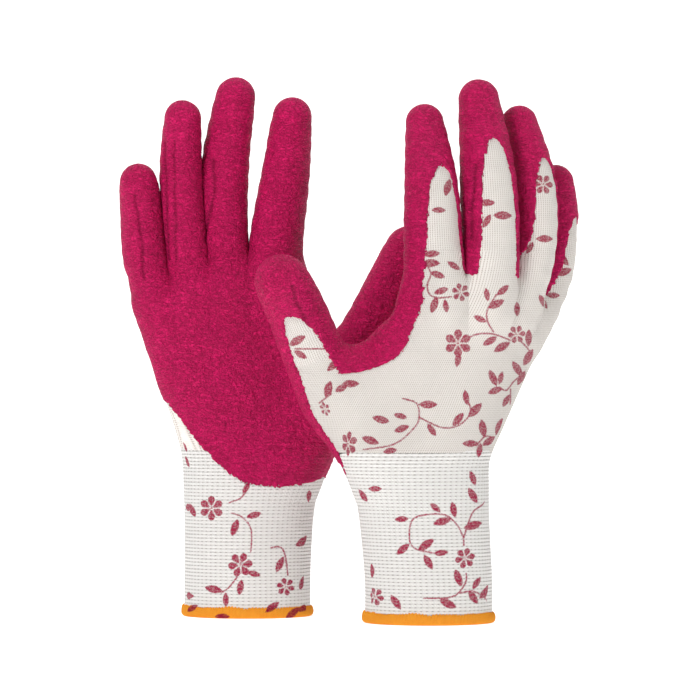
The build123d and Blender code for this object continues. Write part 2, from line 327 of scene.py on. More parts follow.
# --- meshes
class Mesh:
    """Triangles with values carried at their vertices."""

    def __init__(self, verts, tris):
        self.verts = verts
        self.tris = tris
        self.data = {}

    def clip(self, value):
        """The part where value > 0, cut cleanly through the triangles that cross zero."""
        value = np.where(np.abs(value) < 1e-6, 1e-6, value)
        inside = value[self.tris] > 0
        count = inside.sum(1)
        pool = [self.tris[count == 3]]
        edges = []
        for wanted in (1, 2):
            t = self.tris[count == wanted]
            odd = np.argmax(inside[count == wanted] == (wanted == 1), axis=1)
            a, b, c = (t[np.arange(len(t)), (odd + k) % 3] for k in range(3))
            edges.append((a, b, c))
        cut = np.concatenate([np.stack([e[0], e[k]], 1) for e in edges for k in (1, 2)])
        keys, index = np.unique(np.sort(cut, axis=1), axis=0, return_inverse=True)
        index = index.reshape(-1) + len(self.verts)
        share = (value[keys[:, 0]] / (value[keys[:, 0]] - value[keys[:, 1]]))
        one, two = len(edges[0][0]), len(edges[1][0])
        ab1, ac1, ab2, ac2 = np.split(index, [one, 2 * one, 2 * one + two])
        pool.append(np.stack([edges[0][0], ab1, ac1], 1))
        _, b, c = edges[1]
        pool.append(np.stack([ab2, b, c], 1))
        pool.append(np.stack([ab2, c, ac2], 1))

        def mix(v):
            w = share if v.ndim == 1 else share[:, None]
            return np.concatenate([v, v[keys[:, 0]] * (1 - w) + v[keys[:, 1]] * w])

        result = Mesh(mix(self.verts), np.concatenate(pool))
        result.data = {k: mix(v) for k, v in self.data.items()}
        return result.tidy()

    def tidy(self):
        """Drops vertices that no triangle uses."""
        used, index = np.unique(self.tris, return_inverse=True)
        result = Mesh(self.verts[used], index.reshape(-1, 3))
        result.data = {k: v[used] for k, v in self.data.items()}
        return result

    def join(self, other):
        result = Mesh(np.concatenate([self.verts, other.verts]),
                      np.concatenate([self.tris, other.tris + len(self.verts)]))
        result.data = {k: np.concatenate([self.data[k], other.data[k]]) for k in self.data}
        return result


def face_normals(verts, tris):
    a, b, c = (verts[tris[:, k]] for k in range(3))
    return np.cross(b - a, c - a)


def pulled(field, P, limit):
    """Points moved towards the surface field = 0, by about limit at most."""
    g = gradient(field, P)
    size = np.maximum((g * g).sum(1), 0.2)
    return P - np.clip(field(P) / size, -limit, limit)[:, None] * g


def isosurface(field, low, high, voxel):
    """Triangles of field = 0 in a box, moved exactly onto the surface."""
    low, high = np.array(low, float), np.array(high, float)
    n = np.ceil((high - low) / voxel).astype(int) + 1
    axes = [low[i] + voxel * np.arange(n[i]) for i in range(3)]
    values = np.empty(n, np.float32)
    for i in range(0, n[0], 16):
        g = np.stack(np.meshgrid(axes[0][i:i + 16], axes[1], axes[2], indexing="ij"), -1)
        values[i:i + 16] = field(g.reshape(-1, 3)).reshape(g.shape[:3])
    grid = openvdb.FloatGrid(background=3.0)
    grid.copyFromArray(values)
    points, _, quads = grid.convertToPolygons(isovalue=0.0, adaptivity=0.0)
    P = low + np.asarray(points, float) * voxel
    for _ in range(2):
        P = pulled(field, P, voxel)
    quads = np.asarray(quads, int)
    a, b, c, d = quads.T
    first = np.linalg.norm(P[a] - P[c], axis=1) < np.linalg.norm(P[b] - P[d], axis=1)
    one = np.where(first[:, None], np.stack([a, b, c], 1), np.stack([a, b, d], 1))
    two = np.where(first[:, None], np.stack([a, c, d], 1), np.stack([b, c, d], 1))
    tris = np.concatenate([one, two])
    mesh = Mesh(P, tris)
    mesh.data["normal"] = unit(gradient(field, P))
    if (face_normals(P, tris) * mesh.data["normal"][tris[:, 0]]).sum() < 0:
        mesh.tris = tris[:, ::-1]
    return mesh


# --- coating and knit coordinates
def stitch_jitter(wale, course, seed):
    """A stepped offset that follows whole stitches, from -1 to 1."""
    i, j = np.floor(wale / WALE), np.floor(course / COURSE)
    fine = lattice(i, j, np.full_like(i, seed)) * 2 - 1
    coarse = lattice(np.floor(i / 2), np.floor(j / 2), np.full_like(i, seed + 7)) * 2 - 1
    return 0.6 * fine + 0.4 * coarse


def around(side, digit, P):
    """Angle about a digit's centre line, from the middle of its back, and the digit's radius there."""
    line = LINES[side][digit]
    best = np.full(len(P), 1e9)
    place = np.zeros((len(P), 4))
    for p, q in zip(line[:-1], line[1:]):
        t, dist = nearest(P, p[:3], q[:3])
        take = dist < best
        best = np.where(take, dist, best)
        place = np.where(take[:, None], p + t[:, None] * (q - p), place)
    cx, cy, _, radius = place.T
    angle = np.arctan2(P[:, 0] - cx, cy - P[:, 1]) - math.radians(BACK_TURN[side][digit])
    return (angle + np.pi) % (2 * np.pi) - np.pi, radius


def knit_coordinates(side, P, digit):
    """Distance across the knit's columns and along them, in millimetres: the hand's own, or one digit's."""
    if digit is None:
        u, v, _, b = hand_local(side, P)
        return u + np.tanh(u / 8) * np.maximum(b + TURNED[side] * v, 0), P[:, 2].copy()
    root, tip = (np.array(DIGITS[side][digit][i], float) for i in (-3, -1))
    angle, _ = around(side, digit, P)
    return angle * root[3], root[2] + (P - root[:3]) @ unit(tip[:3] - root[:3])


def bare_distance(side, P, raw):
    """Below 0 on bare knit and above 0 under the coating, in millimetres from the coating's edge."""
    u, v, a, b = hand_local(side, P)
    angle = np.arctan2(u / a, -TURNED[side] * v / b)
    x = P[:, 0] * TURNED[side]
    z = P[:, 2]
    top = np.array(HAND_TOP[side], float)
    right = (angle - math.radians(EDGE_RIGHT)) * HAND_ROUND
    left = -(angle + math.radians(EDGE_LEFT)) * HAND_ROUND
    left = np.maximum(left, (hermite(z, WEB_HEIGHTS, WEB_EDGE[side]) - x) * 0.9)
    m = np.maximum(np.maximum(right, left), z - hermite(P[:, 0], top[:, 0], top[:, 1]) - 3.0)
    closest = raw.min(axis=0)
    for i, digit in enumerate(DIGIT_NAMES):
        height, half, flare = BARE[side][digit]
        s = np.array(DIGITS[side][digit], float)
        root_z = s[-3, 2]
        turn, radius = around(side, digit, P)
        share = np.clip((z - root_z) / (height - root_z), -1, 1)
        width = half * np.sqrt(1 - np.clip(share, 0, 1) ** 3.2) + flare * (1 - np.clip(share, 0, 1)) ** 6
        strip = np.maximum((np.abs(turn) - np.radians(width)) * radius, (z - height) * 0.8)
        low = root_z - (34 if digit == "thumb" else 18)
        strip = np.maximum(strip, low - z)
        mine = raw[i] < closest + (5.0 if digit == "thumb" else 0.1)
        strip = np.where(mine, strip, 9.0)
        m = smin(m, strip, 7.0 if digit == "thumb" else 1.5)
    heel = np.array(HEEL_LINE, float)
    line = hermite(-x, heel[:, 0], heel[:, 1])
    m = np.minimum(m, (z - line) * 0.8)
    return m


def coating_height(m):
    """How far the coating stands above the liner, m millimetres inside its edge."""
    return COAT * np.sqrt(np.clip(m / 0.9, 0, 1) * (2 - np.clip(m / 0.9, 0, 1)))


# Long creases in the coating: three (x, z) points, depth and width. They lie on the side towards -Y.
CREASES = {
    "rear": [
        ((-49.5, 188), (-47, 170), (-46, 152), 0.7, 0.7),
        ((-35.5, 212), (-35.5, 190), (-34.5, 160), 0.7, 0.7),
        ((-31.5, 212), (-31.8, 190), (-31.0, 160), 0.55, 0.6),
        ((-14.5, 204), (-14, 191), (-19, 168), 0.75, 0.8),
        ((9.5, 210), (10.5, 188), (7.5, 178), -0.4, 1.6), ((2, 120), (6, 100), (16, 82), 0.3, 3.0),
        ((-42, 118), (-10, 110), (10, 128), 0.25, 2.6), ((-38, 136), (-14, 130), (14, 140), 0.3, 2.4),
    ],
    "front": [
        ((-3, 205), (-4, 190), (-5, 172), -0.35, 1.6), ((-60, 146), (-56, 134), (-50, 122), 0.4, 0.9),
        ((20, 200), (18.5, 184), (18, 168), 0.45, 0.8),
    ],
}


def relief(side, P, N, m):
    """Folds and wrinkles of the coating that shape the mesh, and how far each point is in a crease, where the
    coating's colour is darkened as painted shade.
    """
    d = 0.14 * noise(P, 8.0) + 0.05 * noise(P * [1.0, 1.0, 1.5], 3.4)
    ridge = 1 - np.abs(noise(P * [0.7, 0.7, 1.5], 2.2))
    d = d + 0.1 * (ridge ** 3 - 0.3)
    at_heel = 1 - step(P[:, 2], 78, 104)
    d = d - 0.3 * at_heel * (1 - np.abs(noise(P * [0.35, 1.0, 1.4], 3.6))) ** 4
    crease_shade = np.zeros(len(P))
    facing = step(-N[:, 1], 0.0, 0.5)
    for a, b, c, depth, width in CREASES[side]:
        points = [np.array(q, float) for q in (a, b, c)]
        wander = P[:, [0, 2]] + 0.5 * noise(P, 5.0)[:, None]
        near = np.minimum(nearest(wander, *points[:2])[1], nearest(wander, *points[1:])[1])
        mark = facing * np.exp(-(near / width) ** 2)
        d = d - depth * mark
        if depth > 0 and width < 1.0:
            crease_shade = np.maximum(crease_shade, mark)
    return step(m, -0.2, 1.2) * d, crease_shade


# --- the printed pattern
# Placed on the plane of the hand: x across and z along, in millimetres from the centre of the cuff opening.
# A leaf is (x, z, angle), a flower (x, z, radius) and a stem a run of (x, z) points.
HAND_LEAVES = [
    (24, 143, 100), (31, 145, 40), (28, 139, 25), (21, 132.5, -25), (25.5, 123, 30), (31, 120.5, 30),
    (37.5, 137, 90), (43, 124.5, 90), (43, 116, 60), (11.5, 115, 80), (27, 107, 115), (30.5, 107, 75),
    (28, 101.5, 20), (38, 111, 125), (33, 97, 60), (40, 107, 60), (-1.5, 95.5, 0), (0, 84.5, -55),
    (11.5, 89, 50), (19, 93, 45), (15, 98.5, 100), (-22, 89, -15), (-13.5, 90.5, -15), (-13, 85, 20),
    (-26.5, 80, -20), (-18, 75.5, 10), (17, 78.5, 0), (22.5, 85, 100), (21, 75.5, 80), (25.5, 79.5, 30),
    (30, 85.5, 70), (4, 144.5, 20), (1, 138.5, 70), (6, 138, -80), (2.5, 151.5, -20), (7, 189.5, 75),
    (3, 179.5, 0), (0, 160.5, 5), (-0.5, 156.5, 0), (9.5, 155.5, -30), (24, 183, 0), (31, 177.5, 0),
    (24, 175, 60), (50, 168, 0), (43.5, 164, 60), (59.5, 159.5, -50), (59.5, 154, 20), (54.5, 143.5, 0),
    (49.5, 140.5, -55), (-58, 123, 30), (-56.5, 117, -30), (-42.5, 112.5, 45), (-46, 102, 60),
    (-40, 102.5, 25), (-35.5, 104.5, 0),
]
HAND_FLOWERS = [
    (11.5, 122, 6), (37.5, 126, 4), (12.5, 144, 4), (-37.5, 78.5, 5.5), (49.5, 192, 4.5), (-50, 93.5, 3),
]
HAND_STEMS = [
    [(15.5, 124), (20, 126), (27, 126), (34.5, 123.5)], [(39.5, 123), (43, 119.5), (44.5, 116)],
    [(27, 127), (24.5, 131), (24, 136), (28, 143)], [(41, 109), (36.5, 105.5), (33, 101.5), (30, 103)],
    [(35, 102), (35, 95.5)], [(-12.5, 98), (-6.5, 96), (-5.5, 90), (-7.5, 85.5), (-16, 78.5), (-29.5, 76)],
    [(-5.5, 90), (4.5, 85.5), (12, 86.5), (17, 92), (15.5, 97.5)], [(19.5, 77.5), (23.5, 81.5), (27, 81)],
    [(-1.5, 154.5), (-0.5, 151.5), (-2, 147), (-1, 143), (2.5, 141.5), (8.5, 142)],
    [(-59, 119.5), (-46, 119.5)], [(-52.5, 96), (-45, 100)],
]
CUFF_LEAVES = [
    (1.5, 51, -40), (9.5, 50, 100), (4.5, 45, 15), (-13, 46, 5), (-12.5, 33, 40), (-2.5, 35, 35),
    (4, 31.5, 5), (-1.5, 27.5, -60), (18, 43, 15), (18, 63.5, -70), (18, 56, -60), (-24.5, 59, 0),
    (-30, 56, -50),
    (11.5, 20.5, -70), (19.5, 18, 55), (18, 12, -55), (7, 9.5, -25), (-26, 23, 90), (-15.5, 10, -55),
    (24, 14, 40),
]
CUFF_FLOWERS = [(14.5, 29, 4.5), (-24.5, 12, 4)]
CUFF_STEMS = [
    [(14, 34.5), (13.5, 38.5), (10.5, 44), (5, 48), (-5, 47.5), (-9, 44.5), (-9.5, 36.5), (-6.5, 33),
     (0.5, 31.5)],
    [(14, 38), (17.5, 48), (21, 51), (24.5, 53)], [(15, 22.5), (14.5, 18), (9, 12.5), (-3.5, 12)],
    [(12.5, 14), (18.5, 14.5), (25, 10)],
]
PALM_CUFF_LEAVES = [
    (0, 58, 60), (3.5, 46, 15), (-5, 40.5, 70), (3.5, 20, -15), (-2.5, 14, 80), (-14.5, 13, -10),
    (-9, 8.5, 90), (15, 24, 65), (25.5, 34, 30), (25, 15.5, 70), (11.5, 5, 35), (28, 54, 90),
    (-24.5, 48, -60), (-28.5, 49, 0),
    (-29.5, 76, -40), (-28.5, 69.5, -40), (-27.5, 9.5, 0), (-24.5, 4, 30), (-10.5, 1, 0), (20.5, 2, 40),
    (25.5, 4, 20),
]
PALM_CUFF_FLOWERS = [(-15.5, 49, 5.5), (-2.5, 24, 5.5), (17.5, 14, 4)]
PALM_CUFF_STEMS = [
    [(-7.5, 51.5), (-2.5, 53.5), (0, 56.5)], [(-6.5, 47), (-1.5, 45), (2, 40.5), (2.5, 35), (2, 29.5)],
    [(-4, 18.5), (-7.5, 14), (-11, 11.5)], [(11, 31.5), (15.5, 31.5), (17.5, 27), (18.5, 19)],
]
LEAF_LENGTH, LEAF_WIDTH, STEM_WIDTH = 7.2, 3.0, 0.75
INK_STEP = 0.15
WRAP_FROM = 62              # degrees from the middle of a side, where the print starts to wrap
WRAP_RADIUS = 24.0
WRAP_FADE = (80, 110)       # heights between which the wrap fades out


def smooth_run(points, steps=5):
    """A rounder run through the same points."""
    P = np.array([points[0], *points, points[-1]], float)
    run = []
    for a, b, c, d in zip(P[:-3], P[1:-2], P[2:-1], P[3:]):
        for t in np.arange(steps) / steps:
            run.append(0.5 * (2 * b + (c - a) * t + (2 * a - 5 * b + 4 * c - d) * t ** 2
                              + (3 * b - a - 3 * c + d) * t ** 3))
    return np.array(run + [P[-1]])


class Print:
    """Distance to the printed ink over the plane of a hand, negative inside it, held on a fine grid."""

    def __init__(self, leaves, flowers, stems):
        self.xs = np.arange(-78, 78, INK_STEP)
        self.zs = np.arange(-4, 236, INK_STEP)
        self.field = np.full((len(self.zs), len(self.xs)), 2.0)
        half, wide = LEAF_LENGTH / 2, LEAF_WIDTH / 2
        arc = (half * half + wide * wide) / (2 * wide)
        for n, (x, z, angle) in enumerate(leaves):
            c, s = math.cos(math.radians(angle)), math.sin(math.radians(angle))
            size = 0.85 + 0.35 * ((n * 37 % 11) / 10)
            X, Z, window = self.around(x, z, 6.5)
            along = ((X - x) * c + (Z - z) * s) / size
            across = ((Z - z) * c - (X - x) * s) / size
            self.lay(window, (np.hypot(along, np.abs(across) + arc - wide) - arc) * size)
        for n, (x, z, radius) in enumerate(flowers):
            X, Z, window = self.around(x, z, radius + 2)
            r = np.hypot(X - x, Z - z)
            petal = np.abs(((np.arctan2(Z - z, X - x) + 0.4 * n) * 6 / (2 * np.pi)) % 1 - 0.5) * 2
            body = np.maximum(r - radius * (1.0 - 0.4 * petal ** 2), 0.25 - (1 - petal) * r * 0.5)
            body = np.maximum(body, 0.16 * radius - r)
            self.lay(window, np.minimum(body, r - 0.09 * radius))
        for points in stems:
            run = smooth_run(points)
            for p, q in zip(run[:-1], run[1:]):
                e = q - p
                X, Z, window = self.around((p[0] + q[0]) / 2, (p[1] + q[1]) / 2, np.linalg.norm(e) / 2 + 1.5)
                t = np.clip(((X - p[0]) * e[0] + (Z - p[1]) * e[1]) / (e @ e), 0, 1)
                self.lay(window, np.hypot(X - p[0] - t * e[0], Z - p[1] - t * e[1]) - STEM_WIDTH / 2)

    def around(self, x, z, reach):
        """The grid points within reach of a place."""
        i = np.searchsorted(self.xs, (x - reach, x + reach))
        j = np.searchsorted(self.zs, (z - reach, z + reach))
        window = (slice(*j), slice(*i))
        X, Z = np.meshgrid(self.xs[window[1]], self.zs[window[0]])
        return X, Z, window

    def lay(self, window, distance):
        self.field[window] = np.minimum(self.field[window], distance)

    def at(self, X, Z):
        i = np.clip((X - self.xs[0]) / INK_STEP, 0, len(self.xs) - 2)
        j = np.clip((Z - self.zs[0]) / INK_STEP, 0, len(self.zs) - 2)
        i0, j0 = i.astype(int), j.astype(int)
        s, t = i - i0, j - j0
        lower = self.field[j0, i0] * (1 - s) + self.field[j0, i0 + 1] * s
        upper = self.field[j0 + 1, i0] * (1 - s) + self.field[j0 + 1, i0 + 1] * s
        return lower * (1 - t) + upper * t


BACK_PRINT = Print(HAND_LEAVES + CUFF_LEAVES, HAND_FLOWERS + CUFF_FLOWERS, HAND_STEMS + CUFF_STEMS)
PALM_PRINT = Print(PALM_CUFF_LEAVES, PALM_CUFF_FLOWERS, PALM_CUFF_STEMS)


def print_at(side, P, facing):
    """Ink distance anywhere on a glove. facing is the surface's y direction; the back and palm sides differ.

    The print lies flat over the middle of each side and wraps round with the cuff towards its edges. There is
    none on the narrow strip that faces sideways, between the two printed sides.
    """
    u, v, a, b = hand_local(side, P)
    turned = np.arctan2(np.abs(u) / a, np.abs(v) / b) - math.radians(WRAP_FROM)
    wrapped = np.clip(turned, 0, None) * WRAP_RADIUS * (1 - step(P[:, 2], *WRAP_FADE))
    X = (P[:, 0] + np.sign(u) * wrapped) * TURNED[side]
    back = facing * TURNED[side] < 0
    ink = np.where(back, BACK_PRINT.at(X, P[:, 2]), PALM_PRINT.at(-X, P[:, 2]))
    return ink + 3 * (1 - step(np.abs(facing), 0.1, 0.28))


# --- materials
def srgb(r, g, b):
    """A colour given as screen values from 0 to 255."""
    linear = [((c / 255 + 0.055) / 1.055) ** 2.4 if c > 10 else c / 255 / 12.92 for c in (r, g, b)]
    return (*linear, 1.0)


class Graph:
    """Builds a material's nodes with short calls."""

    def __init__(self, name, roughness, sheen=0.0):
        self.material = bpy.data.materials.new(name)
        self.material.use_nodes = True
        self.tree = self.material.node_tree
        self.shader = self.tree.nodes["Principled BSDF"]
        self.shader.inputs["Roughness"].default_value = roughness
        self.shader.inputs["Sheen Weight"].default_value = sheen

    def feed(self, socket, value):
        if isinstance(value, bpy.types.NodeSocket):
            self.tree.links.new(value, socket)
        else:
            socket.default_value = value

    def math(self, operation, *values, clamp=False):
        n = self.tree.nodes.new("ShaderNodeMath")
        n.operation = operation
        n.use_clamp = clamp
        for i, value in enumerate(values):
            self.feed(n.inputs[i], value)
        return n.outputs[0]

    def total(self, *terms, clamp=False):
        """The sum of terms given as (value, share)."""
        result = None
        for i, (value, share) in enumerate(terms):
            part = value if share == 1 else self.math("MULTIPLY", value, share)
            last = i == len(terms) - 1
            result = part if result is None else self.math("ADD", result, part, clamp=clamp and last)
        return result

    def rest_of(self, value):
        """1 less a value."""
        return self.math("SUBTRACT", 1.0, value)

    def from_middle(self, value):
        """How far a value from 0 to 1 is from a half."""
        return self.math("ABSOLUTE", self.math("SUBTRACT", value, 0.5))

    def attribute(self, name, output="Fac"):
        n = self.tree.nodes.new("ShaderNodeAttribute")
        n.attribute_name = name
        return n.outputs[output]

    def smooth(self, value, low, high):
        """0 at low and 1 at high, smooth between."""
        n = self.tree.nodes.new("ShaderNodeMapRange")
        n.interpolation_type = "SMOOTHSTEP"
        self.feed(n.inputs["Value"], value)
        n.inputs["From Min"].default_value = low
        n.inputs["From Max"].default_value = high
        return n.outputs["Result"]

    def mix(self, factor, a, b):
        n = self.tree.nodes.new("ShaderNodeMix")
        n.data_type = "RGBA"
        self.feed(n.inputs[0], factor)
        self.feed(n.inputs[6], a)
        self.feed(n.inputs[7], b)
        return n.outputs[2]

    def noise(self, scale, detail=2.0, distortion=0.0, stretch=(1, 1, 1)):
        """Noise at the stored rest position, scale in features per millimetre."""
        place = self.tree.nodes.new("ShaderNodeMapping")
        self.feed(place.inputs["Vector"], self.attribute("rest", "Vector"))
        place.inputs["Scale"].default_value = stretch
        n = self.tree.nodes.new("ShaderNodeTexNoise")
        self.feed(n.inputs["Vector"], place.outputs[0])
        n.inputs["Scale"].default_value = scale
        n.inputs["Detail"].default_value = detail
        n.inputs["Distortion"].default_value = distortion
        return n.outputs["Fac"]

    def finish(self, colour, height, depth):
        """Sets the colour and a bump whose full height is depth millimetres."""
        bump = self.tree.nodes.new("ShaderNodeBump")
        bump.inputs["Distance"].default_value = depth * MM
        self.feed(bump.inputs["Height"], height)
        self.feed(self.shader.inputs["Base Color"], colour)
        self.feed(self.shader.inputs["Normal"], bump.outputs[0])
        return self.material


WHITE_KNIT = srgb(228, 223, 217)
# The colour of the knit's holes: painted shade.
KNIT_HOLE_SHADE = srgb(146, 124, 110)
INK = srgb(150, 10, 56)


def inked(g, colour, raised):
    """Lays the printed pattern over a knit: patchy, and paler where the knit is low."""
    edge = g.total((g.attribute("ink"), 1), (g.math("SUBTRACT", g.noise(1.6), 0.5), 0.7))
    cover = g.rest_of(g.smooth(edge, -0.28, 0.22))
    patch = g.smooth(g.noise(1.5, 1.0), 0.36, 0.60)
    strength = g.total((0.62, 1), (raised, 0.18), (patch, 0.3), clamp=True)
    return g.mix(g.math("MULTIPLY", cover, strength), colour, INK)


def knit_material(name, wale, course, depth, slant):
    """Jersey: columns of V-shaped stitches, with small dark holes between the columns. The holes and the gaps
    between the columns are darkened as painted shade.
    """
    g = Graph(name, 0.92, 0.1)
    side = g.from_middle(g.math("FRACT", g.math("DIVIDE", g.attribute("wale"), wale)))
    leg = g.rest_of(g.math("MULTIPLY", g.math("ABSOLUTE", g.math("SUBTRACT", side, 0.25)), 4.0))
    run = g.total((g.math("DIVIDE", g.attribute("course"), course), 1), (side, slant))
    beat = g.math("SINE", g.math("MULTIPLY", g.math("FRACT", run), math.pi))
    stitch = g.math("MULTIPLY", g.smooth(leg, 0.0, 0.75), g.smooth(beat, 0.05, 0.85))
    between = g.smooth(side, 0.24, 0.46)
    hole = g.math("MULTIPLY", between, g.rest_of(g.smooth(beat, 0.2, 0.95)))
    height = g.total((stitch, 0.6), (between, -0.5), (g.noise(5.0, 3.0), 0.25))
    # Painted shade in the holes and between the columns, with a little random tone.
    dark = g.total((hole, 0.62), (between, 0.12), (g.noise(0.5), 0.08), clamp=True)
    colour = inked(g, g.mix(dark, WHITE_KNIT, KNIT_HOLE_SHADE), stitch)
    return g.finish(colour, height, depth)


def cuff_material(name):
    """Coarse elastic knit: level ribs crossed by twisted loops, with a small hole at each corner. The holes
    and the gaps between rows are darkened as painted shade.
    """
    g = Graph(name, 0.9, 0.1)
    row = g.math("DIVIDE", g.attribute("course"), CUFF_ROW)
    column = g.math("DIVIDE", g.attribute("wale"), CUFF_COLUMN)
    between_rows = g.smooth(g.from_middle(g.math("FRACT", row)), 0.26, 0.5)
    between_columns = g.smooth(g.from_middle(g.math("FRACT", column)), 0.2, 0.44)
    hole = g.math("MULTIPLY", between_rows, between_columns)
    twist = g.math("SINE", g.math("MULTIPLY", g.total((row, 1), (column, 2.0)), 2 * math.pi))
    height = g.total((between_rows, -0.55), (between_columns, -0.3), (twist, 0.12), (g.noise(4.0, 3.0), 0.2))
    # Painted shade in the holes and between the rows, with a little random tone.
    dark = g.total((hole, 0.6), (between_rows, 0.2), (g.noise(0.4), 0.07), clamp=True)
    colour = inked(g, g.mix(dark, srgb(224, 222, 219), srgb(140, 132, 124)), g.rest_of(between_rows))
    return g.finish(colour, height, 0.6)


def latex_material(name):
    """Magenta foam latex, matt and crinkled like crepe, a little paler where it is thin. Painted highlight
    makes it paler where the crepe stands up, and painted shade darkens its creases.
    """
    g = Graph(name, 0.6)
    g.shader.inputs["Specular IOR Level"].default_value = 0.16
    crepe = g.noise(0.5, distortion=1.8, stretch=(0.75, 0.75, 1.6))
    crease = g.rest_of(g.smooth(g.from_middle(crepe), 0.0, 0.06))
    wave = g.tree.nodes.new("ShaderNodeTexWave")
    wave.bands_direction = "Z"
    g.feed(wave.inputs["Vector"], g.attribute("rest", "Vector"))
    for key, value in (("Scale", 0.2), ("Distortion", 7.0), ("Detail", 2.0), ("Detail Scale", 1.7)):
        wave.inputs[key].default_value = value
    rippled = g.smooth(g.noise(0.11, 1.0), 0.35, 0.6)
    ripple = g.math("MULTIPLY", wave.outputs["Fac"], g.total((0.08, 1), (rippled, 0.14)))
    fold = g.noise(0.3, distortion=1.2, stretch=(1.1, 1.1, 0.8))
    pore = g.noise(3.5)
    height = g.total((crepe, 0.8), (crease, -0.2), (ripple, 1), (fold, 1.3), (pore, 0.1))
    # Paler where the crepe stands up, a painted highlight, with random tone over larger patches.
    tone = g.total((crepe, 0.2), (g.noise(0.09), 0.7), clamp=True)
    colour = g.mix(tone, srgb(186, 14, 80), srgb(218, 20, 102))
    # Painted shade: darker along the crepe's crease lines and in the long creases.
    shadow = g.total((crease, 0.22), (g.attribute("crease_shade"), 0.5), clamp=True)
    colour = g.mix(shadow, colour, srgb(108, 0, 44))
    thin = g.rest_of(g.smooth(g.attribute("edge"), 0.1, 1.0))
    colour = g.mix(g.math("MULTIPLY", thin, 0.25), colour, srgb(206, 60, 112))
    g.feed(g.shader.inputs["Roughness"], g.total((0.5, 1), (g.noise(0.8), 0.24)))
    return g.finish(colour, height, 2.2)


def thread_material(name, core, light, pitch):
    """Wound thread: fine twisted strands along the piece, painted paler on each strand's crest as painted
    highlight and darker between strands as painted shade.
    """
    g = Graph(name, 0.85)
    g.shader.inputs["Specular IOR Level"].default_value = 0.15
    across = g.math("DIVIDE", g.attribute("wale"), pitch)
    turn = g.math("ADD", across, g.math("DIVIDE", g.attribute("course"), pitch * 2))
    strand = g.math("ABSOLUTE", g.math("SINE", g.math("MULTIPLY", turn, math.pi)))
    fuzz = g.noise(4.0, 3.0)
    height = g.total((strand, 1), (fuzz, 0.4))
    # Painted highlight on the strands' crests and painted shade between them, with random tone; the second
    # colour is the painted highlight.
    tone = g.total((strand, 0.45), (fuzz, 0.3), (g.noise(0.35), 0.3), clamp=True)
    colour = inked(g, g.mix(tone, core, light), strand)
    return g.finish(colour, height, 0.35)


MATERIALS = {
    "knit_liner": knit_material("knit_liner", WALE, COURSE, 0.28, 0.9),
    "cuff_knit": cuff_material("cuff_knit"),
    "latex_coating": latex_material("latex_coating"),
    # The second colour of each thread is its painted highlight.
    "edge_thread": thread_material("edge_thread", srgb(238, 110, 4), srgb(255, 186, 62), 0.55),
    "elastic_yarn": thread_material("elastic_yarn", srgb(205, 196, 190), srgb(240, 236, 232), 0.4),
}


# --- pieces
PLACE = {}
for glove_side in DIGITS:
    box_low, box_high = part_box(f"{glove_side}_edge_binding")
    PLACE[glove_side] = np.array([(box_low.x + box_high.x) / 2, (box_low.y + box_high.y) / 2, 0.0])


def add_object(name, data):
    thing = bpy.data.objects.new(name, data)
    bpy.context.scene.collection.objects.link(thing)
    return thing


def placed(side, P):
    """Points of a glove in the CAD frame, in metres."""
    return np.asarray(P) * MM + PLACE[side]


def vertex_normals(verts, tris):
    face = face_normals(verts, tris)
    sums = [sum(np.bincount(tris[:, k], face[:, i], len(verts)) for k in range(3)) for i in range(3)]
    return unit(np.stack(sums, 1))


def add_piece(name, side, mesh, slot):
    """A Blender object from a mesh, standing for the CAD node of the same name."""
    data = bpy.data.meshes.new("mesh_" + name)
    verts = placed(side, mesh.verts)
    data.vertices.add(len(verts))
    data.vertices.foreach_set("co", verts.astype(np.float32).ravel())
    tris = mesh.tris.astype(np.int32)
    data.loops.add(tris.size)
    data.loops.foreach_set("vertex_index", tris.ravel())
    data.polygons.add(len(tris))
    data.polygons.foreach_set("loop_start", np.arange(0, tris.size, 3, dtype=np.int32))
    data.update(calc_edges=True)
    rest = data.attributes.new("rest", "FLOAT_VECTOR", "POINT")
    rest.data.foreach_set("vector", mesh.data["rest"].astype(np.float32).ravel())
    for key, blank in (("wale", 9.0), ("course", 9.0), ("edge", 9.0), ("ink", 9.0), ("crease_shade", 0.0)):
        layer = data.attributes.new(key, "FLOAT", "POINT")
        values = mesh.data.get(key, np.full(len(verts), blank))
        layer.data.foreach_set("value", values.astype(np.float32))
    data.polygons.foreach_set("use_smooth", np.ones(len(tris), bool))
    data.normals_split_custom_set_from_vertices(mesh.data["normal"].astype(np.float32))
    data.materials.append(MATERIALS[slot])
    piece = add_object("look_" + name, data)
    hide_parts(name)
    return piece


def refine(mesh, field):
    """Splits every triangle in four and moves the new points onto the surface."""
    edges = np.sort(np.concatenate([mesh.tris[:, pair] for pair in ([0, 1], [1, 2], [2, 0])]), axis=1)
    keys, index = np.unique(edges, axis=0, return_inverse=True)
    ab, bc, ca = np.split(index.reshape(-1) + len(mesh.verts), 3)
    a, b, c = mesh.tris.T
    tris = np.concatenate([np.stack(t, 1) for t in ((a, ab, ca), (ab, b, bc), (ca, bc, c), (ab, bc, ca))])
    P = pulled(field, np.concatenate([mesh.verts, mesh.verts[keys].mean(1)]), 0.5)
    result = Mesh(P, tris)
    result.data["normal"] = unit(gradient(field, P))
    return result


def dressed(side, mesh, digit=None):
    """Adds the coating's edge distance, the knit coordinates and the print to a base mesh."""
    P, N = mesh.verts, mesh.data["normal"]
    wale, course = knit_coordinates(side, P, digit)
    m = bare_distance(side, P, digit_distances(side, P)) + 0.75 * stitch_jitter(wale, course, 3)
    mesh.data.update(rest=P.copy(), edge=m, wale=wale, course=course, ink=print_at(side, P, N[:, 1]))
    return mesh


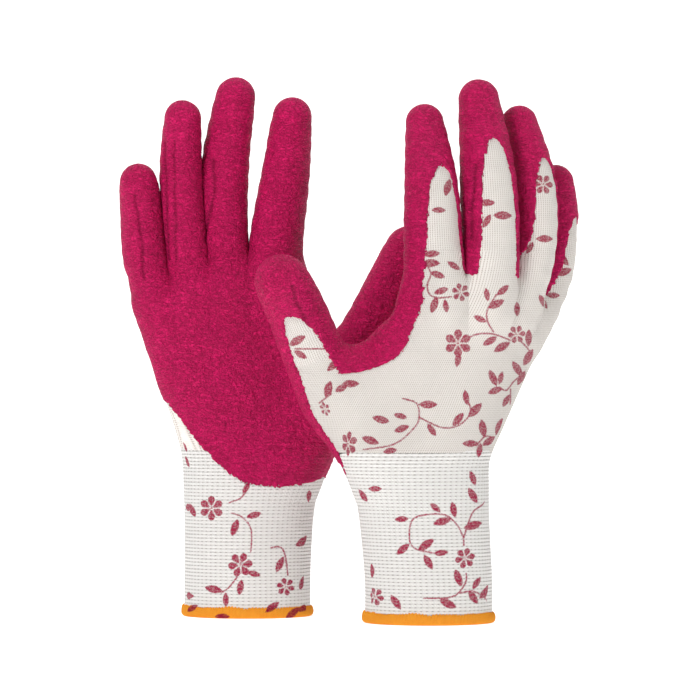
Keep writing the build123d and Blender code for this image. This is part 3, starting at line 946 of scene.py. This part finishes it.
def coating_of(side, mesh):
    """The coating over a base mesh, thinning out at its edge, with its folds and wrinkles."""
    coat = mesh.clip(mesh.data["edge"])
    P, N, m = coat.verts, unit(coat.data["normal"]), coat.data["edge"]
    height = coating_height(m)
    fold, crease_shade = relief(side, P, N, m)
    lift = np.maximum(height + fold, 0.2 * height)
    coat.data["crease_shade"] = crease_shade
    coat.verts = P + N * (lift + 0.02)[:, None]
    coat.data["normal"] = vertex_normals(coat.verts, coat.tris)
    return coat


def liner_of(mesh):
    """The knit, pressed in a little where the coating covers it."""
    liner = Mesh(mesh.verts, mesh.tris)
    liner.data = dict(mesh.data)
    liner.verts = mesh.verts - mesh.data["normal"] * (0.35 * step(mesh.data["edge"], 0.6, 2.0))[:, None]
    return liner


def inner_wall(field, low, high):
    """The inside face of the knit, seen through the cuff."""
    inside = isosurface(lambda P: field(P) + LINER, low, high, 1.8)
    inside.tris = inside.tris[:, ::-1]
    P = inside.verts
    inside.data = {"normal": -inside.data["normal"], "rest": P.copy(), "edge": np.full(len(P), -9.0),
                   "wale": P[:, 0] + P[:, 1], "course": P[:, 2].copy(), "ink": np.full(len(P), 9.0)}
    return inside


def plane_value(P, point, normal):
    return (P - point) @ normal


def base_mesh(field, low, high):
    mesh = isosurface(field, low, high, 1.0)
    return refine(mesh, field)


def build_hand(side):
    """The hand's liner and coating, up to where each digit starts to bend."""
    def field(P):
        return glove_field(side, P)

    low, high = HAND_BOX[side]

    def below_digits(P):
        raw = digit_distances(side, P)
        values = []
        for digit in DIGIT_NAMES:
            hinge, _, axis, _, _, start = folds(side, digit)
            values.append(plane_value(P, hinge + axis * start, axis))
        return -np.array(values)[np.argmin(raw, axis=0), np.arange(len(P))]

    mesh = dressed(side, base_mesh(field, low, high))
    coat = coating_of(side, mesh)
    coat = coat.clip(below_digits(coat.data["rest"]))
    liner = liner_of(mesh).clip(mesh.verts[:, 2] - CUFF_TOP)
    liner = liner.clip(below_digits(liner.data["rest"]))
    inside = inner_wall(field, low, high)
    inside = inside.clip(inside.verts[:, 2] - CUFF_TOP + 4)
    inside = inside.clip(below_digits(inside.verts))
    body = f"{side}_glove"
    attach(add_piece(f"{side}_hand_liner", side, liner.join(inside), "knit_liner"), body)
    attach(add_piece(f"{side}_hand_coating", side, coat, "latex_coating"), body)


def build_digit(side, digit):
    """A digit's lower and upper liner and coating, cut apart at its two folds."""
    def field(P):
        return digit_field(side, digit, P)

    hinge, mid, axis, end_axis, reach, start = folds(side, digit)
    line = LINES[side][digit]
    part = line[line[:, 2] > hinge[2] - 14]
    pad = part[:, 3:4] + 3
    low, high = (part[:, :3] - pad).min(0), (part[:, :3] + pad).max(0)

    mesh = dressed(side, base_mesh(field, low, high), digit)
    start_point = hinge + axis * start
    split_point = mid - end_axis * reach
    inside = inner_wall(field, low, high)
    shells = {"coating": coating_of(side, mesh), "liner": liner_of(mesh).join(inside)}
    for kind, shell in shells.items():
        rest = shell.data["rest"]
        shell = shell.clip(plane_value(rest, start_point, axis))
        rest = shell.data["rest"]
        cut = plane_value(rest, split_point, end_axis)
        slot = "latex_coating" if kind == "coating" else "knit_liner"
        hand, lower, upper = f"{side}_glove", f"{side}_{digit}_lower", f"{side}_{digit}_upper"
        piece = add_piece(f"{lower}_{kind}", side, shell.clip(-cut), slot)
        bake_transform(piece)
        piece = add_piece(f"{upper}_{kind}", side, shell.clip(cut), slot)
        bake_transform(piece)


# --- cuff
def ring_mesh(side, turns, profile):
    """A band round the cuff's section. profile(angle) gives its rows of (outset, height)."""
    rows = len(profile(np.zeros(1)))
    turns += 1
    angle = np.linspace(0, 2 * np.pi, turns)
    P = np.empty((rows, turns, 3))
    for i, (outset, height) in enumerate(profile(angle)):
        x, y, a, b, turn = section_at(side, height)
        u, v = np.cos(angle) * (a + outset), np.sin(angle) * (b + outset)
        X = x + u * np.cos(turn) - v * np.sin(turn)
        Y = y + u * np.sin(turn) + v * np.cos(turn)
        P[i] = np.stack([X, Y, height], 1)
        out = np.stack([np.cos(angle + turn), np.sin(angle + turn), np.zeros(turns)], 1)
        for _ in range(3 if np.max(height) > HAND_FROM else 0):
            miss = glove_field(side, P[i]) - outset
            P[i] -= out * np.clip(miss / 0.9, -2, 2)[:, None]
    index = np.arange(rows * turns).reshape(rows, turns)
    a, b, c, d = (q.ravel() for q in (index[:-1, :-1], index[:-1, 1:], index[1:, 1:], index[1:, :-1]))
    tris = np.concatenate([np.stack([a, b, c], 1), np.stack([a, c, d], 1)])
    mesh = Mesh(P.reshape(-1, 3), tris)
    normal = vertex_normals(mesh.verts, tris).reshape(rows, turns, 3)
    normal[:, 0] = normal[:, -1] = unit(normal[:, 0] + normal[:, -1])
    mesh.data["normal"] = normal.reshape(-1, 3)
    theta = np.tile(angle, rows)
    wale = theta * CUFF_GIRTH / (2 * np.pi)
    course = mesh.verts[:, 2].copy()
    mesh.data.update(rest=mesh.verts.copy(), wale=wale, course=course, edge=np.full(len(theta), -9.0))
    return mesh


def build_cuff(side):
    """The coarse ribbed cuff, inside and out, in small rows and with a soft roll into the hand."""
    heights = np.arange(1.4, CUFF_TOP + 1.2, 0.5)

    def wall(angle):
        one = np.ones_like(angle)
        rows = [(one * -1.0, one * h) for h in heights[::-6]]
        for h in heights:
            tuck = -0.3 * step(h, CUFF_TOP - 0.2, CUFF_TOP + 1.2)
            row = 0.10 * math.sin(2 * math.pi * h / 1.5)
            sway = 0.25 * np.sin(3 * angle + h * 0.05) * step(h, 5, 30)
            rows.append((row + tuck + sway, one * h))
        return rows

    mesh = ring_mesh(side, 320, wall)
    mesh.data["ink"] = print_at(side, mesh.verts, mesh.data["normal"][:, 1])
    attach(add_piece(f"{side}_cuff", side, mesh, "cuff_knit"), f"{side}_glove")


def build_binding(side):
    """The overlocked edge: slanted loops of thread wrapped over the cuff's cut edge."""
    loops = 118

    def wrap(angle):
        ring = np.stack([np.cos(angle), np.sin(angle), np.zeros(len(angle))], 1) * 30.0
        uneven = 0.5 * noise(ring, 7.0) + 0.3 * noise(ring, 2.2)
        rows = []
        for turn in np.linspace(0, 2 * math.pi, 34):
            out = -0.3 + 1.6 * math.cos(turn)
            up = 0.5 + 0.5 * math.copysign(abs(math.sin(turn)) ** 0.85, math.sin(turn))
            strand = np.abs(np.sin((angle * loops + 2.2 * math.cos(turn)) / 2)) ** 0.7
            top = float(step(np.array(up), 0.45, 1.0))
            height = 0.02 + up * (BINDING_HEIGHT - 1.0) + top * (0.9 * strand - 0.1 + uneven)
            out = out + 0.34 * (strand - 0.6) * math.cos(turn)
            rows.append((out, np.clip(height, 0.0, BINDING_HEIGHT + 0.3)))
        return rows

    mesh = ring_mesh(side, loops * 6, wrap)
    if (mesh.data["normal"] * (mesh.verts * [1, 1, 0])).sum() < 0:
        mesh.tris = mesh.tris[:, ::-1]
        mesh.data["normal"] = -mesh.data["normal"]
    mesh.data["ink"] = print_at(side, mesh.verts, mesh.verts[:, 1]) + 0.2
    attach(add_piece(f"{side}_edge_binding", side, mesh, "edge_thread"), f"{side}_glove")


def build_elastic(side):
    """Elastic yarns laid around the inside of the cuff."""
    total = None
    for row in range(ELASTIC_ROWS):
        z = ELASTIC_START + row * ELASTIC_PITCH

        def tube(angle):
            wave = 0.12 * np.sin(angle * 53)
            return [(-1.35 + ELASTIC_RADIUS * math.cos(t), z + ELASTIC_RADIUS * math.sin(t) + wave)
                    for t in np.linspace(0, -2 * math.pi, 9)]

        ring = ring_mesh(side, 160, tube)
        ring.data["ink"] = np.full(len(ring.verts), 9.0)
        total = ring if total is None else total.join(ring)
    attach(add_piece(f"{side}_cuff_elastic", side, total, "elastic_yarn"), f"{side}_glove")


for glove_side in DIGITS:
    build_hand(glove_side)
    for digit_name in DIGIT_NAMES:
        build_digit(glove_side, digit_name)
    build_cuff(glove_side)
    build_binding(glove_side)
    build_elastic(glove_side)


# --- camera, floor and light
CAMERA_DISTANCE = 1.4
CAMERA_SIDE = 0.0003        # a little to the right of the origin
CAMERA_HEIGHT = 0.107
VIEW_WIDTH = 0.3088         # width of the picture at the origin
VIEW_MIDDLE = 0.1193        # height shown in the middle of the picture

camera_data = bpy.data.cameras.new("camera")
camera_data.sensor_width = 36.0
camera_data.lens = 36.0 * CAMERA_DISTANCE / VIEW_WIDTH
camera_data.shift_y = (VIEW_MIDDLE - CAMERA_HEIGHT) / VIEW_WIDTH
camera = add_object("camera", camera_data)
camera.location = (CAMERA_SIDE, -CAMERA_DISTANCE, CAMERA_HEIGHT)
camera.rotation_euler = (math.pi / 2, 0.0, 0.0)
bpy.context.scene.camera = camera


def area_light(name, place, aim, size, power):
    data = bpy.data.lights.new(name, "AREA")
    data.shape = "DISK"
    data.size = size
    data.energy = power
    light = add_object(name, data)
    light.location = place
    direction = np.array(aim, float) - np.array(place, float)
    light.rotation_euler = (math.atan2(math.hypot(direction[0], direction[1]), -direction[2]), 0.0,
                            math.atan2(direction[0], -direction[1]) + math.pi)


area_light("key", (-0.75, -0.95, 0.95), (0, 0, 0.12), 0.4, 13.0)
area_light("fill", (0.95, -0.8, 0.45), (0, 0, 0.12), 0.6, 3.6)
area_light("top", (0.1, 0.15, 1.2), (0, 0, 0.1), 0.7, 3.6)

# The floor runs back and curves up into the backdrop. It glows a little, as a lit white studio sweep does.
sweep = [(-3.0, 0.0), (1.6, 0.0)]
sweep += [(1.6 + 0.8 * math.sin(a), 0.8 - 0.8 * math.cos(a)) for a in np.linspace(0.1, math.pi / 2, 12)]
sweep += [(2.4, 5.0)]
corners = [(x, y, z) for y, z in sweep for x in (-5.0, 5.0)]
strips = [(2 * i, 2 * i + 1, 2 * i + 3, 2 * i + 2) for i in range(len(sweep) - 1)]
floor_mesh = bpy.data.meshes.new("floor")
floor_mesh.from_pydata(corners, [], strips)
floor = add_object("floor", floor_mesh)
floor_look = Graph("floor", 0.9)
for key, value in (("Base Color", (0.9, 0.9, 0.9, 1)), ("Emission Color", (1, 1, 1, 1)),
                   ("Emission Strength", 0.7)):
    floor_look.shader.inputs[key].default_value = value
floor_mesh.materials.append(floor_look.material)

world = bpy.data.worlds.new("world")
world.use_nodes = True
glow = world.node_tree.nodes["Background"].inputs
glow["Color"].default_value = (1, 1, 1, 1)
glow["Strength"].default_value = 0.25
bpy.context.scene.world = world
bpy.context.scene.view_settings.view_transform = "Standard"
